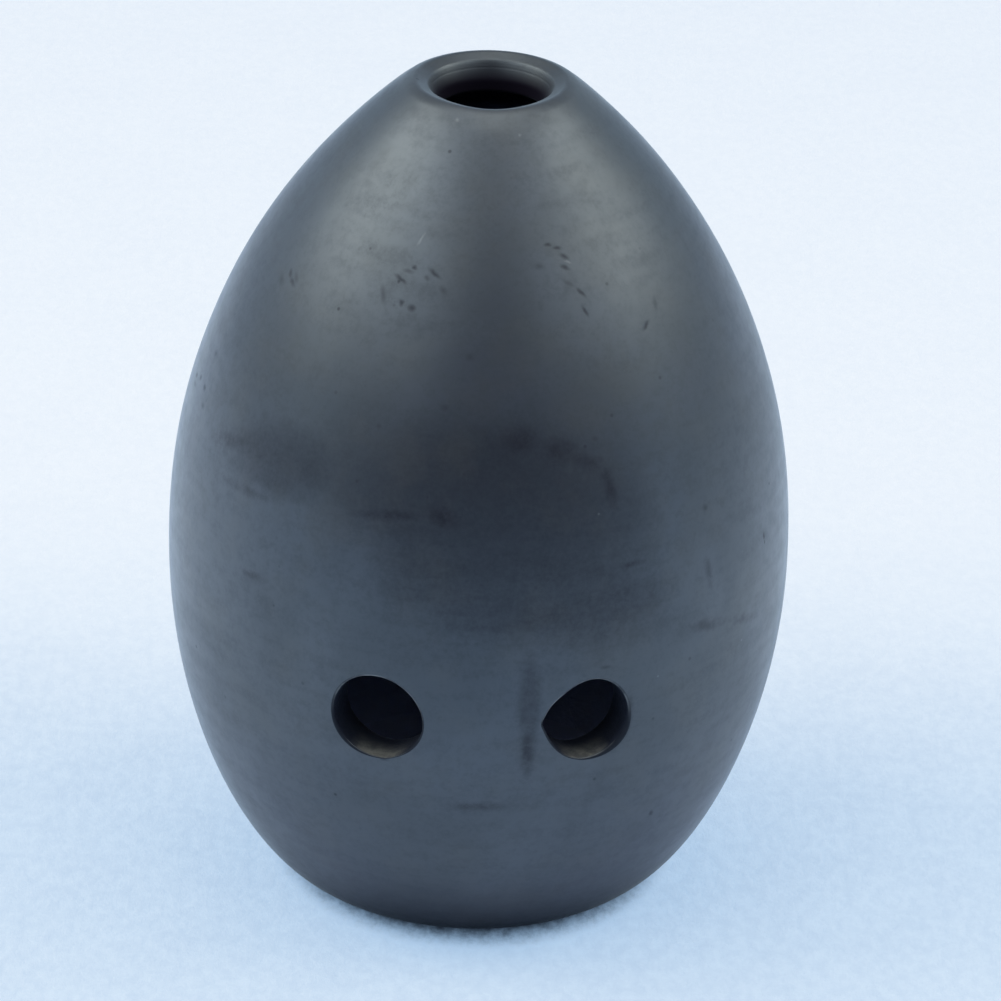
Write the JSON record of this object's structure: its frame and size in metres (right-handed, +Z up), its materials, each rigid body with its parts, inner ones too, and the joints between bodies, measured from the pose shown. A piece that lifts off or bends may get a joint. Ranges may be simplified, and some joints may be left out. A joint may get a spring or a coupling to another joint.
{
  "type": "xun",
  "caption": "Egg-shaped clay vessel flute with a flat foot, a bevelled blow hole on top, finger holes in front and thumb holes behind.",
  "frame": {"origin": "centre of the foot, on the surface it stands on", "axes": "+Z up along the axis of the egg to the blow hole, -Y towards the player and out of the thumb holes' side, +Y out of the finger holes' side, -X to the player's left hand"},
  "size_m": [0.076, 0.076, 0.103],
  "materials": {
    "burnished_clay": "smoke-fired black clay, burnished to a soft sheen, unglazed, with scuffs and fine pits"
  },
  "bodies": {
    "root": {"foot_slab": "burnished_clay", "lower_shell": "burnished_clay", "upper_shell": "burnished_clay", "mouth_ring": "burnished_clay"}
  },
  "joints": []
}
